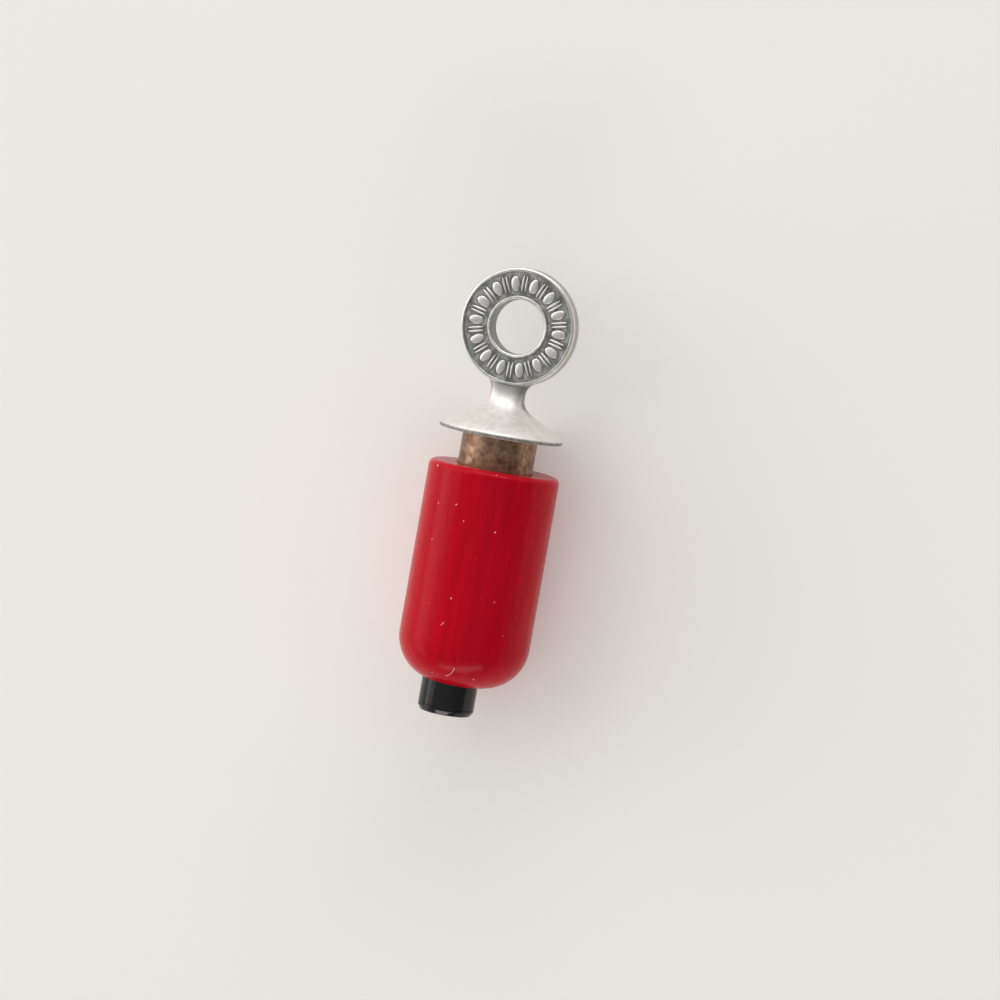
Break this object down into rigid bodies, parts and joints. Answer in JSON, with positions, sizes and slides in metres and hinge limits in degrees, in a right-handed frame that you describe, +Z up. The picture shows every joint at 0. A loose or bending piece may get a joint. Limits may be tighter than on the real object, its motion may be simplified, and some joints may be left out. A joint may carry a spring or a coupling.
{
  "type": "bird call",
  "caption": "Twist bird call: a cast key with a flat ring head turns in a rounded red wooden barrel and squeaks, with a rosin vial kept in its end.",
  "frame": {"origin": "centre of the whole call's box at ground level, with the barrel lying on the ground", "axes": "+Y along the barrel's axis towards the ring head, +Z up and square to the ring's faces, +X across"},
  "size_m": [0.019, 0.0654, 0.019],
  "materials": {
    "red_birch": "dyed red and lacquered",
    "pewter": "satin as cast",
    "rosin": "thin and glassy",
    "black_plastic": "moulded gloss",
    "rosin_powder": "loose powder"
  },
  "bodies": {
    "key": {"key": "pewter"},
    "film": {"rosin_film": "rosin"},
    "barrel": {"barrel": "red_birch"},
    "vial": {"vial_body": "black_plastic", "rosin_powder": "rosin_powder"},
    "plug": {"vial_plug": "black_plastic"}
  },
  "joints": [
    {"name": "key_twist", "type": "hinge", "parent": "key", "child": "film", "pos_m": [0, 0, 0.00953], "axis": [0, 1, 0], "continuous": true},
    {"name": "key_pull", "type": "slide", "parent": "film", "child": "barrel", "axis": [0, -1, 0], "range_m": [0, 0.0185]},
    {"name": "vial_slide", "type": "slide", "parent": "barrel", "child": "vial", "axis": [0, -1, 0], "range_m": [0, 0.0095]},
    {"name": "plug_pull", "type": "slide", "parent": "vial", "child": "plug", "axis": [0, -1, 0], "range_m": [0, 0.0024]}
  ]
}
